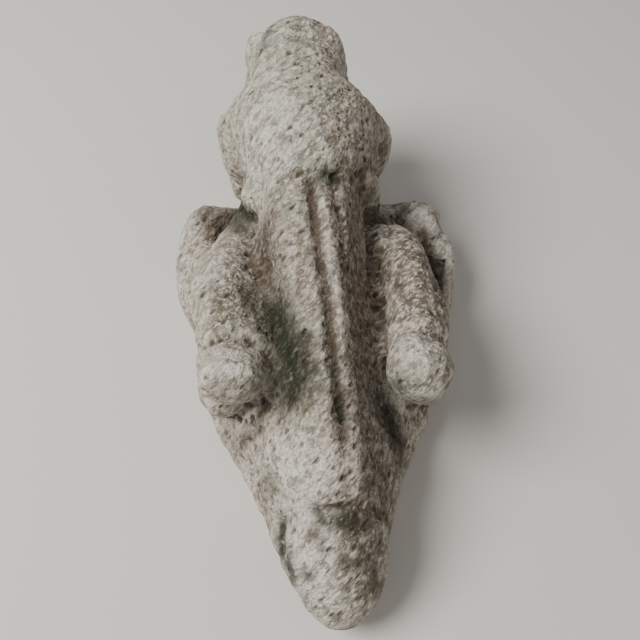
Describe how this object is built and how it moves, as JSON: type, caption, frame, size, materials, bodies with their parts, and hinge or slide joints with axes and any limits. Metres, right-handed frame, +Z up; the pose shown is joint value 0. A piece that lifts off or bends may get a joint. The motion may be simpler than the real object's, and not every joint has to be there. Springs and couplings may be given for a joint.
{
  "type": "carved stone grasshopper",
  "caption": "Small figure of a crouching grasshopper carved from one block of pitted grey stone, with folded wings and raised knees, that stands on its flat belly as an ornament.",
  "frame": {"origin": "middle of the flat underside, at the bottom centre of the figure's box", "axes": "+Z up, -Y where the head looks, +Y along the tail, +X the figure's own left side"},
  "size_m": [0.1228, 0.23, 0.0895],
  "materials": {
    "stone": "rough pitted grey stone with moss and dirt in its hollows"
  },
  "bodies": {
    "root": {"grasshopper": "stone"}
  },
  "joints": []
}
